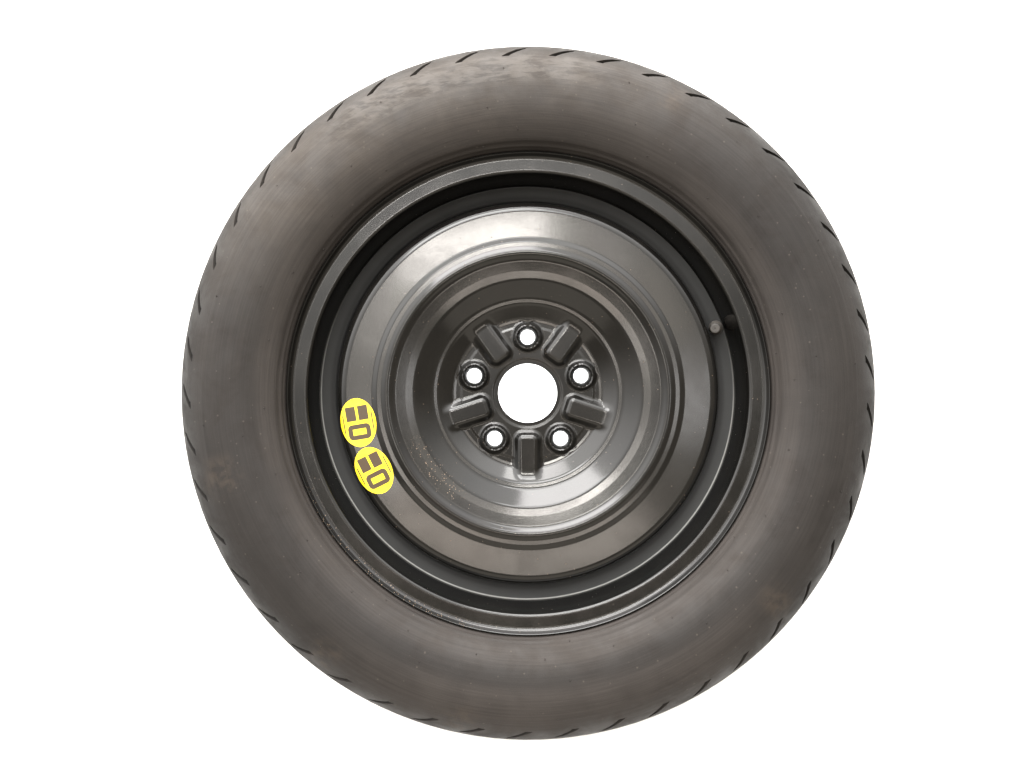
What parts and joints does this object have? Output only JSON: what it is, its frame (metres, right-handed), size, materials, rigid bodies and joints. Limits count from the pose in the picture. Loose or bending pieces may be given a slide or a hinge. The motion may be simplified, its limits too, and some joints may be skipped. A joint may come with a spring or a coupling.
{
  "type": "spare wheel",
  "caption": "Narrow temporary-use car spare wheel: rounded black tyre on a dished black pressed-steel wheel with bolt holes, a snap-in valve and oval labels.",
  "frame": {"origin": "wheel centre: on the axle line, midway between the rim flanges", "axes": "+Z along the axle line out of the outboard face, +Y from the centre through one bolt hole; the wheel lies on its inboard sidewall"},
  "size_m": [0.696, 0.696, 0.165],
  "materials": {
    "tyre_rubber": "dusty moulded rubber",
    "black_paint": "satin black paint",
    "valve_rubber": "matt moulded rubber",
    "valve_brass": "turned",
    "seal_rubber": "matt",
    "spring_steel": "drawn wire",
    "cap_plastic": "dusty moulded",
    "label_film": "printed film"
  },
  "bodies": {
    "wheel": {"tyre": "tyre_rubber", "rim": "black_paint", "wheel_disc": "black_paint", "disc_welds": "black_paint", "valve_body": "valve_rubber", "valve_stem": "valve_brass", "core_plug": "valve_brass", "core_barrel": "valve_brass", "barrel_seal": "seal_rubber", "core_spring": "spring_steel", "label_upper": "label_film", "label_lower": "label_film"},
    "core_pin": {"core_pin": "valve_brass", "pin_cup": "seal_rubber"},
    "cap_seal": {"cap_seal": "seal_rubber"},
    "valve_cap": {"valve_cap": "cap_plastic"}
  },
  "joints": [
    {"name": "core_pin_press", "type": "slide", "parent": "wheel", "child": "core_pin", "axis": [0.284, 0.0989, -0.9537], "range_m": [0, 0.0012], "stiffness_N_per_m": 900, "springref_m": -0.001, "deforming": ["core_spring"]},
    {"name": "valve_cap_rise", "type": "slide", "parent": "wheel", "child": "cap_seal", "axis": [-0.284, -0.0989, 0.9537], "range_m": [0, 0.00556]},
    {"name": "valve_cap_turn", "type": "hinge", "parent": "cap_seal", "child": "valve_cap", "pos_m": [0.19492, 0.06788, 0.01016], "axis": [-0.284, -0.0989, 0.9537], "range_deg": [0, 2520]}
  ],
  "couplings": [
    {"joint": "valve_cap_turn", "follows": "valve_cap_rise", "rad_per_m": 7915.1}
  ]
}
